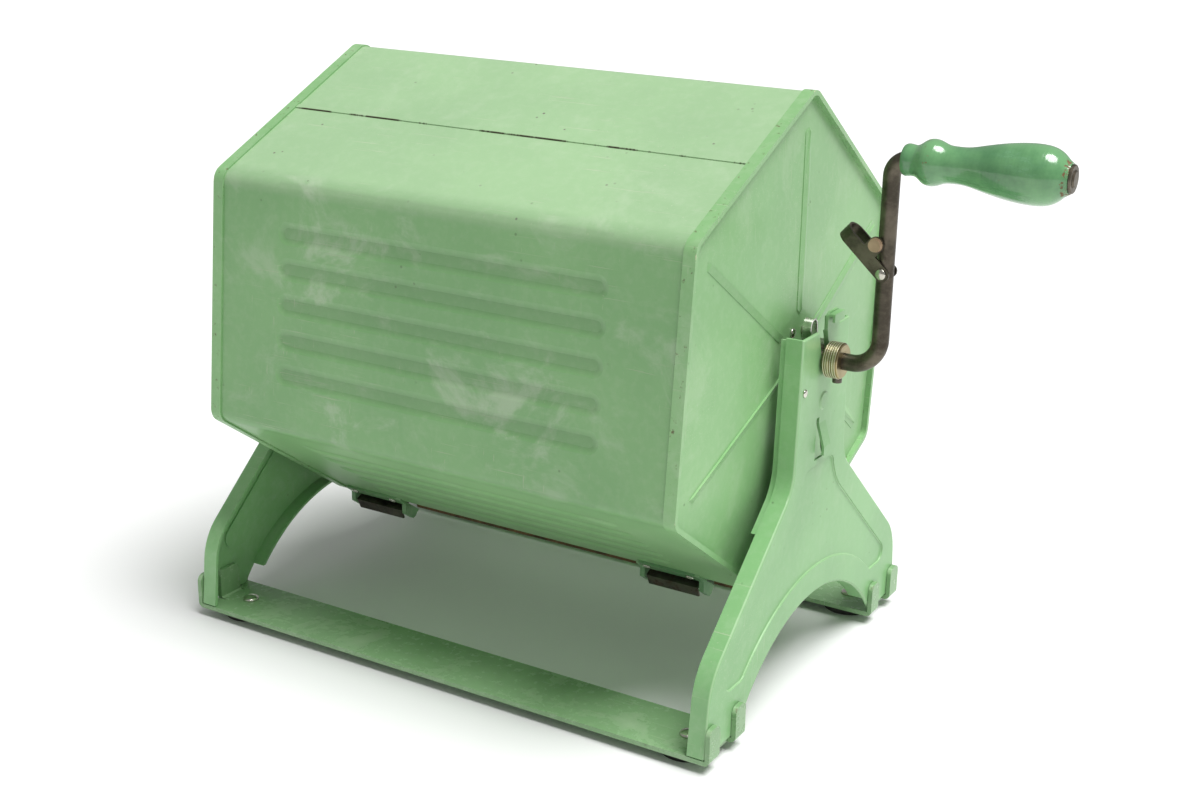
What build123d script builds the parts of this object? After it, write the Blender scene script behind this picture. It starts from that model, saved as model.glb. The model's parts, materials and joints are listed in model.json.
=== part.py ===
from build123d import *
import os
from math import cos, radians, sin, sqrt, tan

# Hand-cranked six-sided drum washer on a pressed-steel stand.
# Millimetres. +X runs along the shaft towards the crank, +Y to the back, +Z up.
# Z = 0 is the surface under the rubber feet; the origin is under the middle of
# the whole machine's box. Lengths named *_X are distances from the drum's middle.

# ---- driving dimensions ----
SHAFT_Z = 251.0            # shaft centre above the table
DRUM_HALF = 200.0          # drum centre to the lip of its rim
DRUM_ACROSS = 318.7        # across the flats of the drum sheet
DRUM_TURN = -5.4           # how far the drum is turned about the shaft, degrees
CORNER_R = 11.0            # bend radius at the six corners
SKIN = 1.0                 # drum sheet
FRAME_X = 225.5            # outer face of an end frame
FRAME_SHEET = 2.0
FRAME_DEPTH = 13.5         # flange depth of an end frame
FOOT_SPREAD = 164.0        # shaft plane to the outer edge of a foot
ARCH_R = 142.5             # arch between the feet
ARCH_TOP = -181.0          # top of the arch, from the shaft centre
FOOT_BOTTOM = -240.0       # bottom edge of the end frame, from the shaft centre
SHAFT_R = 6.0
ARM_X = 265.0              # centre of the crank arm
ARM_REACH = 146.0          # shaft centre to grip centre
GRIP_START = 273.5
GRIP_LENGTH = 111.5
BAR_THICK = 3.5
BAR_WIDTH = 53.0
RUN = 0.05                 # radial running clearance

# ---- sizes worked out from them ----
APOTHEM = DRUM_ACROSS / 2
CORNER = APOTHEM / cos(radians(30))
GRIP_END = GRIP_START + GRIP_LENGTH
ROD_END = GRIP_END + 3.0
FAR_COLLAR_X = FRAME_X + 0.8
COLLAR_LENGTH = 12.0
FAR_END = FAR_COLLAR_X + COLLAR_LENGTH + 4.0
MID_X = -(ROD_END - FAR_END) / 2
FLANGE_X = FRAME_X - FRAME_DEPTH
WEB_IN = FRAME_X - FRAME_SHEET
ARCH_CENTRE = ARCH_TOP - ARCH_R
CORNER_ANGLES = [DRUM_TURN + 90 + 60 * n for n in range(6)]

os.makedirs("parts", exist_ok=True)


def yz_plane(x):
    """A plane across the shaft: local x is the machine's +Y, local y is +Z."""
    return Plane(origin=(MID_X + x, 0, SHAFT_Z), x_dir=(0, 1, 0), z_dir=(1, 0, 0))


def xz_plane(y):
    """A plane along the shaft: local x is +X from the drum's middle, local y is +Z."""
    return Plane(origin=(MID_X, y, SHAFT_Z), x_dir=(1, 0, 0), z_dir=(0, -1, 0))


def face_plane(number, out=0.0):
    """The outer face of one drum panel, counted from the seamed one. Local x is +X."""
    turn = radians(DRUM_TURN + 120 + 60 * number)
    reach = APOTHEM + out
    normal = (0, cos(turn), sin(turn))
    return Plane(origin=(MID_X, reach * normal[1], SHAFT_Z + reach * normal[2]), x_dir=(1, 0, 0), z_dir=normal)


def bar_plane(z):
    """A level plane, z counted from the shaft centre. Local x is from the drum's middle."""
    return Plane(origin=(MID_X, 0, SHAFT_Z + z), x_dir=(1, 0, 0), z_dir=(0, 0, 1))


def save(piece, label):
    piece.part.label = label
    export_step(piece.part, "parts/" + label + ".step")


# ---- end frames ----
COLUMN_HALF = 38.5
COLUMN_TOP = 22.0
KNEE = (43.0, -85.0)
ANKLE = (158.0, -185.0)
KNEE_R = 32.0
ANKLE_R = 45.0
SLOT_R = 6.7               # bearing slot in the web
SLOT_LEAN = 7.0            # how far the slot's mouth leans to the front
EAR_TOP = 33.0
EAR_WIDTH = 20.0
EAR_CURL = 4.5             # how far the rear ear's top is bent outwards
PANEL_INSET = 19.0         # pressed panel, from the frame's outer edge
PANEL_RISE = 21.0          # pressed panel, from the arch
PANEL_DEPTH = 1.4
PANEL_TOP = -78.0
PANEL_LOW = -203.0
PANEL_TIP_R = 8.0
TONGUE_TOP = -42.0
TONGUE_BOTTOM = -70.0
TONGUE_HALF = 5.5
TONGUE_GAP = 4.5           # slit beside the tongue, towards the front
DIMPLE_Z = -31.0
DIMPLE_R = 7.0
ARCH_FLANGE_END = 14.0     # the arch's flange stops this far above the foot


def frame_outline(extra, inset=0.0):
    """Half of an end frame's outline is drawn, then mirrored about the shaft."""
    top = COLUMN_TOP + extra
    bottom = FOOT_BOTTOM - extra
    arch_r = ARCH_R + inset
    arch_foot = sqrt(arch_r ** 2 - (bottom - ARCH_CENTRE) ** 2)
    mid = radians(60)
    with BuildSketch() as outline:
        with BuildLine():
            side = FilletPolyline(
                (0, top),
                (COLUMN_HALF, top),
                (KNEE[0], KNEE[1]),
                (ANKLE[0], ANKLE[1]),
                (FOOT_SPREAD, bottom),
                (arch_foot, bottom),
                radius=[0.5, KNEE_R, ANKLE_R, 0.5],
            )
            half_angle = Vector(arch_foot, bottom - ARCH_CENTRE, 0).get_angle(Vector(0, 1, 0)) / 2
            arc = ThreePointArc(
                (arch_foot, bottom),
                (arch_r * sin(radians(half_angle)), ARCH_CENTRE + arch_r * cos(radians(half_angle))),
                (0, ARCH_CENTRE + arch_r),
            )
            Line(arc @ 1, side @ 0)
        make_face()
        mirror(about=Plane.YZ)
    return outline.sketch


def slot_shape(radius):
    """The open-topped bearing slot, leaning to the front above the shaft."""
    with BuildSketch() as slot:
        Circle(radius)
        with BuildLine():
            Polyline(
                (-radius, 0),
                (-radius - SLOT_LEAN, COLUMN_TOP),
                (-radius - SLOT_LEAN, EAR_TOP + 20),
                (radius - SLOT_LEAN, EAR_TOP + 20),
                (radius - SLOT_LEAN, COLUMN_TOP),
                (radius, 0),
                close=True,
            )
        make_face()
    return slot.sketch


def pressed_panel(grow):
    """The recessed panel of the web: an arched tee inside the frame's edges."""
    shape = offset(frame_outline(10), amount=-PANEL_INSET + grow)
    arch_r = ARCH_R + PANEL_RISE - grow
    with BuildSketch() as panel:
        add(shape)
        with Locations((0, ARCH_CENTRE)):
            Circle(arch_r, mode=Mode.SUBTRACT)
        with Locations((0, PANEL_TOP + grow)):
            Rectangle(400, 200, align=(Align.CENTER, Align.MIN), mode=Mode.SUBTRACT)
        with Locations((0, PANEL_LOW - grow)):
            Rectangle(400, 200, align=(Align.CENTER, Align.MAX), mode=Mode.SUBTRACT)
    rounding = PANEL_TIP_R + grow
    return offset(offset(panel.sketch, amount=-rounding), amount=rounding)


def end_frame(side):
    """One pressed end frame: web, inward flanges, bearing slot, recess and, at the crank, the tongue."""
    outer = frame_outline(0)
    cavity = offset(frame_outline(12), amount=-FRAME_SHEET)
    panel_face = pressed_panel(0)
    panel_back = pressed_panel(1.2)
    with BuildPart() as frame:
        with BuildSketch(yz_plane(side * FRAME_X)):
            add(outer)
        extrude(amount=-side * FRAME_DEPTH)
        with BuildSketch(yz_plane(side * WEB_IN)):
            add(cavity)
        extrude(amount=-side * FRAME_DEPTH, mode=Mode.SUBTRACT)
        bends = frame.edges().filter_by_position(
            Axis.X, MID_X + side * FRAME_X - 0.01, MID_X + side * FRAME_X + 0.01
        )
        bends = [e for e in bends if abs(e.center().Z - SHAFT_Z - FOOT_BOTTOM) > 0.5]
        bends = [e for e in bends if abs(e.center().Z - SHAFT_Z - COLUMN_TOP) > 0.5]
        fillet(bends, radius=1.6)
        with BuildSketch(yz_plane(side * WEB_IN)):
            with Locations((0, FOOT_BOTTOM - 1)):
                Rectangle(272, ARCH_FLANGE_END + 1, align=(Align.CENTER, Align.MIN))
        extrude(amount=-side * FRAME_DEPTH, mode=Mode.SUBTRACT)
        with BuildSketch(yz_plane(side * FRAME_X)):
            with Locations((EAR_WIDTH / 2, COLUMN_TOP - 6)):
                ear = Rectangle(EAR_WIDTH, EAR_TOP - COLUMN_TOP + 6, align=(Align.CENTER, Align.MIN))
            fillet(ear.vertices().group_by(Axis.Y)[-1], radius=4)
        extrude(amount=-side * FRAME_SHEET)
        with BuildSketch(yz_plane(side * (FRAME_X - 0.5))):
            with Locations((EAR_WIDTH / 2, EAR_TOP - 2.2)):
                RectangleRounded(EAR_WIDTH - 3, 2.4, 1.1)
        extrude(amount=side * (EAR_CURL + 0.5))
        with BuildSketch(yz_plane(side * (FRAME_X + EAR_CURL - 2))):
            with Locations((EAR_WIDTH / 2, EAR_TOP - 4.2)):
                RectangleRounded(EAR_WIDTH - 3, 6.4, 1.1)
        extrude(amount=side * 2)
        with BuildSketch(yz_plane(side * (FRAME_X + 5))):
            add(slot_shape(SLOT_R))
        extrude(amount=-side * (FRAME_SHEET + 6), mode=Mode.SUBTRACT)
        with BuildSketch(yz_plane(side * (WEB_IN + 0.1))):
            add(panel_back)
        extrude(amount=-side * (PANEL_DEPTH + 0.1))
        with BuildSketch(yz_plane(side * FRAME_X)):
            add(panel_face)
        extrude(amount=-side * PANEL_DEPTH, mode=Mode.SUBTRACT)
        floor_x = MID_X + side * (FRAME_X - PANEL_DEPTH)
        floor = frame.edges().filter_by_position(Axis.X, floor_x - 0.01, floor_x + 0.01)
        fillet(floor, radius=1.1)
        brink = frame.faces().filter_by_position(Axis.X, MID_X + side * FRAME_X - 0.01, MID_X + side * FRAME_X + 0.01)
        brink = brink.sort_by(SortBy.AREA)[-1].inner_wires().sort_by(Axis.Z)[0].edges()
        fillet(brink, radius=0.25)
        with BuildSketch(yz_plane(side * FRAME_X)):
            with Locations((-33, -17), (31, -17)):
                Circle(2.0)
        extrude(amount=-side * FRAME_SHEET, mode=Mode.SUBTRACT)
        if side > 0:
            with BuildSketch(yz_plane(side * FRAME_X)):
                with Locations((-TONGUE_GAP / 2, (TONGUE_TOP + TONGUE_BOTTOM) / 2 - 2)):
                    Rectangle(2 * TONGUE_HALF + TONGUE_GAP, TONGUE_TOP - TONGUE_BOTTOM + 4)
                with Locations((TONGUE_HALF + 2, TONGUE_BOTTOM + 4)):
                    RectangleRounded(5, 16, 2.0)
            extrude(amount=-side * (FRAME_SHEET + 4), mode=Mode.SUBTRACT)
            with BuildSketch(yz_plane(side * FRAME_X)):
                with Locations((0, DIMPLE_Z)):
                    Circle(DIMPLE_R)
            extrude(amount=0.9, taper=55)
            tongue_side = Plane(origin=(MID_X, -TONGUE_HALF, SHAFT_Z), x_dir=(1, 0, 0), z_dir=(0, 1, 0))
            with BuildSketch(tongue_side):
                with BuildLine():
                    Polyline(
                        (FRAME_X, -TONGUE_TOP - 1),
                        (FRAME_X, -TONGUE_TOP + 5),
                        (FRAME_X + 5, -TONGUE_BOTTOM - 6),
                        (FRAME_X + 5, -TONGUE_BOTTOM),
                        (FRAME_X + 3, -TONGUE_BOTTOM),
                        (FRAME_X + 3, -TONGUE_BOTTOM - 6),
                        (WEB_IN, -TONGUE_TOP + 5.5),
                        (WEB_IN, -TONGUE_TOP - 1),
                        close=True,
                    )
                make_face()
            extrude(amount=2 * TONGUE_HALF)
    return frame


crank_frame = end_frame(1)
save(crank_frame, "crank_side_frame")
far_frame = end_frame(-1)
save(far_frame, "far_side_frame")

# ---- bearing brackets and clips inside the columns ----
BRACKET_SHEET = 1.5
BRACKET_IN = 207.5
BRACKET_LOW = -112.0
CLIP_SHEET = 1.2
CLIP_IN = 215.5


def bearing_bracket(side):
    """A channel nested in the column: two deep flanges and a slotted web."""
    gap = 0.15
    web_out = WEB_IN - gap
    outside = offset(frame_outline(10), amount=-FRAME_SHEET - gap)
    inside = offset(frame_outline(10), amount=-FRAME_SHEET - gap - BRACKET_SHEET)
    with BuildPart() as bracket:
        with BuildSketch(yz_plane(side * web_out)):
            add(outside)
            add(inside, mode=Mode.SUBTRACT)
            with Locations((0, BRACKET_LOW)):
                Rectangle(500, 300, align=(Align.CENTER, Align.MAX), mode=Mode.SUBTRACT)
            with Locations((0, COLUMN_TOP - 2)):
                Rectangle(500, 300, align=(Align.CENTER, Align.MIN), mode=Mode.SUBTRACT)
        extrude(amount=-side * (web_out - BRACKET_IN))
        with BuildSketch(yz_plane(side * web_out)):
            with BuildLine():
                Polyline(
                    (-36, COLUMN_TOP - 2),
                    (36, COLUMN_TOP - 2),
                    (38.5, -36),
                    (-38.5, -36),
                    close=True,
                )
            make_face()
        extrude(amount=-side * BRACKET_SHEET)
        with BuildSketch(yz_plane(side * (web_out + 1))):
            add(slot_shape(SLOT_R))
            with Locations((-33, -17), (31, -17)):
                Circle(2.0)
        extrude(amount=-side * (BRACKET_SHEET + 2), mode=Mode.SUBTRACT)
    return bracket


def bearing_clip(side):
    """A bright strip bent under the shaft; its front leg is folded over into a loop."""
    inner = SHAFT_R + RUN
    clip_out = WEB_IN - 0.15 - BRACKET_SHEET
    outer = inner + CLIP_SHEET
    loop_r = 5.2
    loop_z = 26.0
    loop_y = -outer - 3 + CLIP_SHEET / 2 - loop_r
    with BuildPart() as clip:
        with BuildSketch(yz_plane(side * clip_out)):
            with BuildLine() as path:
                down = Line((-inner - CLIP_SHEET / 2 - 3, loop_z), (-inner - CLIP_SHEET / 2, 0))
                under = ThreePointArc(
                    down @ 1, (0, -inner - CLIP_SHEET / 2), (inner + CLIP_SHEET / 2, 0)
                )
                Line(under @ 1, (inner + CLIP_SHEET / 2, 12))
                ThreePointArc(
                    down @ 0,
                    ((down @ 0).X - loop_r, loop_z + loop_r),
                    ((down @ 0).X - 2 * loop_r, loop_z),
                )
                Line(((down @ 0).X - 2 * loop_r, loop_z), ((down @ 0).X - 2 * loop_r, loop_z - 9))
            trace(path.line, line_width=CLIP_SHEET)
            Circle(inner, mode=Mode.SUBTRACT)
        extrude(amount=-side * (clip_out - CLIP_IN))
    return clip


for side, name in ((1, "crank_side"), (-1, "far_side")):
    bracket = bearing_bracket(side)
    save(bracket, name + "_bearing_bracket")
    clip = bearing_clip(side)
    save(clip, name + "_bearing_clip")

with BuildPart() as bracket_rivets:
    for side in (1, -1):
        with BuildSketch(yz_plane(side * FRAME_X)):
            with Locations((-33, -17), (31, -17)):
                Circle(2.0)
        extrude(amount=-side * (FRAME_SHEET + 0.15 + BRACKET_SHEET))
        with BuildSketch(yz_plane(side * FRAME_X)):
            with Locations((-33, -17), (31, -17)):
                Circle(2.9)
        extrude(amount=side * 1.0, taper=35)
save(bracket_rivets, "bracket_rivets")

# ---- base bars, woven round the feet ----
BAR_TOP = FOOT_BOTTOM - 0.5
TAB_TOP = -217.0
TAB_BANDS = ((149.0, 164.0), (111.0, 125.5))
INNER_BAND = (126.5, 148.0)
FOOT_HOLE = (199.0, 137.0)
RIVET_R = 3.0


def base_bar(back):
    """A flat strip; each end is slit in three tabs bent up on both sides of the frame's foot."""
    with BuildPart() as bar:
        with BuildSketch(bar_plane(BAR_TOP)):
            with Locations((0, back * (FOOT_SPREAD - BAR_WIDTH / 2))):
                Rectangle(2 * (WEB_IN - 8), BAR_WIDTH)
        extrude(amount=-BAR_THICK)
        for side in (1, -1):
            for near, far in TAB_BANDS:
                with BuildSketch(xz_plane(back * (near + far) / 2)):
                    with BuildLine():
                        FilletPolyline(
                            (side * (WEB_IN - 8), BAR_TOP - BAR_THICK),
                            (side * (FRAME_X + 0.3 + BAR_THICK), BAR_TOP - BAR_THICK),
                            (side * (FRAME_X + 0.3 + BAR_THICK), TAB_TOP),
                            radius=BAR_THICK + 1.0,
                        )
                        Polyline(
                            (side * (FRAME_X + 0.3 + BAR_THICK), TAB_TOP),
                            (side * (FRAME_X + 0.3), TAB_TOP),
                            (side * (FRAME_X + 0.3), BAR_TOP),
                            (side * (WEB_IN - 8), BAR_TOP),
                            (side * (WEB_IN - 8), BAR_TOP - BAR_THICK),
                        )
                    make_face()
                extrude(amount=(far - near) / 2, both=True)
            near, far = INNER_BAND
            with BuildSketch(xz_plane(back * (near + far) / 2)):
                with BuildLine():
                    Polyline(
                        (side * (WEB_IN - 8), BAR_TOP - BAR_THICK),
                        (side * (WEB_IN - 0.3), BAR_TOP - BAR_THICK + 0.5),
                        (side * (WEB_IN - 0.3), TAB_TOP),
                        (side * (WEB_IN - 0.3 - BAR_THICK), TAB_TOP),
                        (side * (WEB_IN - 0.3 - BAR_THICK), BAR_TOP + 1.0),
                        (side * (WEB_IN - 5.5), BAR_TOP),
                        (side * (WEB_IN - 8), BAR_TOP),
                        close=True,
                    )
                make_face()
            extrude(amount=(far - near) / 2, both=True)
        corners = bar.edges().filter_by(Axis.X).group_by(Axis.Z)[-1]
        fillet(corners, radius=5.5)
        with BuildSketch(bar_plane(BAR_TOP + 1)):
            with Locations((FOOT_HOLE[0], back * FOOT_HOLE[1]), (-FOOT_HOLE[0], back * FOOT_HOLE[1])):
                Circle(RIVET_R)
        extrude(amount=-BAR_THICK - 2, mode=Mode.SUBTRACT)
    return bar


front_bar = base_bar(-1)
save(front_bar, "front_base_bar")
rear_bar = base_bar(1)
save(rear_bar, "rear_base_bar")

FOOT_RUBBER_R = 21.0
FOOT_RUBBER_Z = BAR_TOP - BAR_THICK
FOOT_SPOTS = [(x * FOOT_HOLE[0], y * FOOT_HOLE[1]) for x in (1, -1) for y in (1, -1)]

with BuildPart() as rubber_feet:
    with BuildSketch(bar_plane(FOOT_RUBBER_Z)):
        with Locations(*FOOT_SPOTS):
            Circle(FOOT_RUBBER_R)
    extrude(amount=-(SHAFT_Z + FOOT_RUBBER_Z), taper=8)
    with BuildSketch(bar_plane(FOOT_RUBBER_Z)):
        with Locations(*FOOT_SPOTS):
            Circle(RIVET_R)
    extrude(amount=-4.5, mode=Mode.SUBTRACT)
    with BuildSketch(bar_plane(-SHAFT_Z)):
        with Locations(*FOOT_SPOTS):
            Circle(5.0)
    extrude(amount=2.5, mode=Mode.SUBTRACT)
save(rubber_feet, "rubber_feet")

with BuildPart() as foot_rivets:
    with BuildSketch(bar_plane(BAR_TOP)):
        with Locations(*FOOT_SPOTS):
            Circle(RIVET_R)
    extrude(amount=-BAR_THICK - 4.4)
    with BuildSketch(bar_plane(BAR_TOP)):
        with Locations(*FOOT_SPOTS):
            Circle(6.3)
    extrude(amount=2.0, taper=45)
save(foot_rivets, "foot_rivets")

# ---- drum ----
RIM_BAND = 9.0
RIM_PROUD = 1.3
LIP = 1.0
PLATE_EDGE = 195.5         # end plate where it meets the rim
PLATE_HUB = 202.0          # end plate at the hub, standing out as a flat pyramid
PLATE_SHEET = 1.2
HUB_HEX = 30.0
RIB_LENGTH = 277.0
RIB_WIDTH = 17.0
RIB_DEPTH = 1.5
RIB_PITCH = 26.0
RIB_COUNT = 5
RIB_SLOPE = 72
RIBBED_FACES = ((1, 4.0), (2, 0.0), (4, -4.0), (5, 0.0))
LID_FACE = 3
MOUTH = (330.0, 124.0)     # loading hole
SEAM_WIDTH = 4.5
SEAM_PROUD = 0.7
PLATE_RIB = 1.8
PLATE_RIB_END = 158.0
HUB_RIVET_RING = 18.0


def hexagon(across, corner=None):
    """The drum's section, across its flats, with its six corners rounded to match the sheet's bends."""
    radius = CORNER_R + (across - DRUM_ACROSS) / 2 if corner is None else corner
    with BuildSketch() as section:
        RegularPolygon(across / 2, 6, major_radius=False, rotation=30 + DRUM_TURN)
        fillet(section.vertices(), radius=radius)
    return section.sketch


with BuildPart() as drum_shell:
    half = DRUM_HALF - LIP
    with BuildSketch(yz_plane(-half)):
        add(hexagon(DRUM_ACROSS))
        add(hexagon(DRUM_ACROSS - 2 * SKIN), mode=Mode.SUBTRACT)
    extrude(amount=2 * half)
    for number, shift in RIBBED_FACES:
        rows = [(0, shift + (i - (RIB_COUNT - 1) / 2) * RIB_PITCH) for i in range(RIB_COUNT)]
        with BuildSketch(face_plane(number, -SKIN / 2)):
            with Locations(*rows):
                SlotOverall(RIB_LENGTH + 2, RIB_WIDTH + 2)
        extrude(amount=-RIB_DEPTH - SKIN / 2, taper=RIB_SLOPE)
        with BuildSketch(face_plane(number)):
            with Locations(*rows):
                SlotOverall(RIB_LENGTH, RIB_WIDTH)
        extrude(amount=-RIB_DEPTH, taper=RIB_SLOPE, mode=Mode.SUBTRACT)
    with BuildSketch(face_plane(0, -0.2)):
        with Locations((0, 0)):
            Rectangle(2 * (DRUM_HALF - RIM_BAND), SEAM_WIDTH)
    extrude(amount=SEAM_PROUD + 0.2)
    with BuildSketch(face_plane(LID_FACE, 1)):
        RectangleRounded(MOUTH[0], MOUTH[1], 18)
    extrude(amount=-SKIN - 3, mode=Mode.SUBTRACT)
save(drum_shell, "drum_shell")


def radial_plane(angle):
    """A plane holding the shaft and one corner of the drum. Local x is outwards, local y is +X."""
    turn = radians(angle)
    outwards = (0, cos(turn), sin(turn))
    return Plane(origin=(MID_X, 0, SHAFT_Z), x_dir=outwards, z_dir=(0, sin(turn), -cos(turn)))


def end_plate(side):
    """An end plate drawn out to a flat pyramid, with six radial ribs and a rim folded over the sheet."""
    inner = DRUM_ACROSS - 2 * SKIN
    with BuildPart() as plate:
        with BuildSketch(yz_plane(side * PLATE_EDGE)):
            add(hexagon(inner - 0.2))
        with BuildSketch(yz_plane(side * PLATE_HUB)):
            add(hexagon(2 * HUB_HEX, 3))
        loft(ruled=True)
        for angle in CORNER_ANGLES:
            with BuildSketch(radial_plane(angle)):
                with BuildLine():
                    Polyline(
                        (HUB_HEX - 3, side * (PLATE_HUB - 1)),
                        (HUB_HEX - 3, side * PLATE_HUB),
                        (HUB_HEX + 2, side * (PLATE_HUB + PLATE_RIB)),
                        (PLATE_RIB_END - 3, side * (PLATE_EDGE + 0.9 + PLATE_RIB)),
                        (PLATE_RIB_END + 2, side * (PLATE_EDGE + 0.2)),
                        (PLATE_RIB_END + 2, side * (PLATE_EDGE - 0.5)),
                        close=True,
                    )
                make_face()
            extrude(amount=5.0, both=True, taper=14)
        with BuildSketch(yz_plane(side * (PLATE_EDGE - PLATE_SHEET))):
            add(hexagon(inner - 2.6))
        with BuildSketch(yz_plane(side * (PLATE_HUB - PLATE_SHEET))):
            add(hexagon(2 * HUB_HEX, 3))
        loft(ruled=True, mode=Mode.SUBTRACT)
        with BuildSketch(yz_plane(side * (PLATE_EDGE - PLATE_SHEET))):
            add(hexagon(inner))
            add(hexagon(inner - 2.4), mode=Mode.SUBTRACT)
        extrude(amount=side * (DRUM_HALF - PLATE_EDGE + PLATE_SHEET))
        with BuildSketch(yz_plane(side * (DRUM_HALF - LIP))):
            add(hexagon(DRUM_ACROSS))
            add(hexagon(inner - 2.4), mode=Mode.SUBTRACT)
        extrude(amount=side * LIP)
        with BuildSketch(yz_plane(side * (DRUM_HALF - RIM_BAND))):
            add(hexagon(DRUM_ACROSS + 2 * RIM_PROUD))
            add(hexagon(DRUM_ACROSS), mode=Mode.SUBTRACT)
        extrude(amount=side * RIM_BAND)
        with BuildSketch(yz_plane(side * (PLATE_HUB + 5))):
            Circle(SHAFT_R)
            with PolarLocations(HUB_RIVET_RING, 6, start_angle=DRUM_TURN):
                Circle(2.0)
        extrude(amount=-side * 20, mode=Mode.SUBTRACT)
    return plate


for side, name in ((1, "crank_side"), (-1, "far_side")):
    plate = end_plate(side)
    save(plate, name + "_end_plate")

# ---- shafts, their flanges, collars and the crank ----
LOWER_BEND = 20.0
UPPER_BEND = 12.0
COLLAR_R = 12.85
COLLAR_X = FRAME_X + 1.5
COLLAR_BEVEL = 1.2
PIVOT_Z = 68.0             # latch pivot, above the shaft centre on the arm
PIVOT_R = 2.0
HUB_PLATE = 3.0
HUB_PLATE_R = 26.0

for side, name in ((1, "crank_side"), (-1, "far_side")):
    with BuildPart() as hub:
        with BuildSketch(yz_plane(side * (PLATE_HUB - PLATE_SHEET))):
            Circle(HUB_PLATE_R)
            Circle(SHAFT_R, mode=Mode.SUBTRACT)
            with PolarLocations(HUB_RIVET_RING, 6, start_angle=DRUM_TURN):
                Circle(2.0, mode=Mode.SUBTRACT)
        extrude(amount=-side * HUB_PLATE)
        with BuildSketch(yz_plane(side * (PLATE_HUB - PLATE_SHEET - HUB_PLATE))):
            Circle(11)
            Circle(SHAFT_R, mode=Mode.SUBTRACT)
        extrude(amount=-side * 9)
    save(hub, name + "_hub_flange")

with BuildPart() as hub_rivets:
    for side in (1, -1):
        with BuildSketch(yz_plane(side * PLATE_HUB)):
            with PolarLocations(HUB_RIVET_RING, 6, start_angle=DRUM_TURN):
                Circle(2.0)
        extrude(amount=-side * (PLATE_SHEET + HUB_PLATE))
        with BuildSketch(yz_plane(side * PLATE_HUB)):
            with PolarLocations(HUB_RIVET_RING, 6, start_angle=DRUM_TURN):
                Circle(3.6)
        extrude(amount=side * 1.5, taper=40)
save(hub_rivets, "hub_rivets")

with BuildPart() as crank_rod:
    with BuildLine(xz_plane(0)) as crank_path:
        FilletPolyline(
            (PLATE_HUB - PLATE_SHEET - HUB_PLATE - 12, 0),
            (ARM_X, 0),
            (ARM_X, ARM_REACH),
            (ROD_END, ARM_REACH),
            radius=[LOWER_BEND, UPPER_BEND],
        )
    with BuildSketch(yz_plane(PLATE_HUB - PLATE_SHEET - HUB_PLATE - 12)):
        Circle(SHAFT_R)
    sweep()
    chamfer(crank_rod.edges().group_by(Axis.X)[-1], length=1.0)
    with BuildSketch(xz_plane(0)):
        with Locations((ARM_X, PIVOT_Z)):
            Circle(PIVOT_R)
    extrude(amount=20, both=True, mode=Mode.SUBTRACT)
save(crank_rod, "crank_rod")

with BuildPart() as far_axle:
    with BuildSketch(yz_plane(-(PLATE_HUB - PLATE_SHEET - HUB_PLATE - 12))):
        Circle(SHAFT_R)
    extrude(amount=-(FAR_END - (PLATE_HUB - PLATE_SHEET - HUB_PLATE - 12)))
    chamfer(far_axle.edges().group_by(Axis.X)[0], length=1.0)
save(far_axle, "far_axle")

for side, name, start in ((1, "crank_side", COLLAR_X), (-1, "far_side", FAR_COLLAR_X)):
    with BuildPart() as collar:
        with BuildSketch(yz_plane(side * start)):
            Circle(COLLAR_R)
        extrude(amount=side * COLLAR_LENGTH)
        chamfer(collar.edges().group_by(Axis.X)[0] + collar.edges().group_by(Axis.X)[-1], length=COLLAR_BEVEL)
        with BuildSketch(yz_plane(side * start)):
            Circle(SHAFT_R)
        extrude(amount=side * COLLAR_LENGTH, mode=Mode.SUBTRACT)
        with BuildSketch(bar_plane(-COLLAR_R - 1)):
            with Locations((side * (start + COLLAR_LENGTH - 4.2), 0)):
                Circle(2.5)
        extrude(amount=COLLAR_R + 1 - SHAFT_R, mode=Mode.SUBTRACT)
        with BuildSketch(bar_plane(-COLLAR_R - 1)):
            with Locations((side * (start + COLLAR_LENGTH - 4.2), 0)):
                Circle(3.4)
        extrude(amount=1.6, mode=Mode.SUBTRACT)
    save(collar, name + "_collar")

with BuildPart() as set_screws:
    for side, start in ((1, COLLAR_X), (-1, FAR_COLLAR_X)):
        with BuildSketch(bar_plane(-SHAFT_R)):
            with Locations((side * (start + COLLAR_LENGTH - 4.2), 0)):
                Circle(2.5)
        extrude(amount=-(COLLAR_R - SHAFT_R - 0.6))
        with BuildSketch(bar_plane(-COLLAR_R + 0.6)):
            with Locations((side * (start + COLLAR_LENGTH - 4.2), 0)):
                Circle(3.4)
        extrude(amount=-3.6)
        with BuildSketch(bar_plane(-COLLAR_R - 3.0)):
            with Locations((side * (start + COLLAR_LENGTH - 4.2), 0)):
                Rectangle(8, 0.9, rotation=35)
        extrude(amount=1.4, mode=Mode.SUBTRACT)
save(set_screws, "collar_set_screws")

# ---- turned grip ----
GRIP_PROFILE = (
    (0.0, 10.0),
    (2.0, 10.8),
    (8.0, 10.4),
    (12.0, 12.5),
    (16.0, 15.0),
    (20.0, 15.6),
    (24.5, 14.6),
    (29.0, 12.9),
    (35.0, 12.3),
    (41.0, 12.4),
    (54.0, 14.9),
    (69.0, 18.0),
    (81.0, 19.5),
    (92.0, 19.7),
    (100.0, 18.2),
    (105.5, 15.0),
    (109.5, 11.4),
    (GRIP_LENGTH, 10.2),
)
GRIP_MOUTH = 7.8

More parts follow.
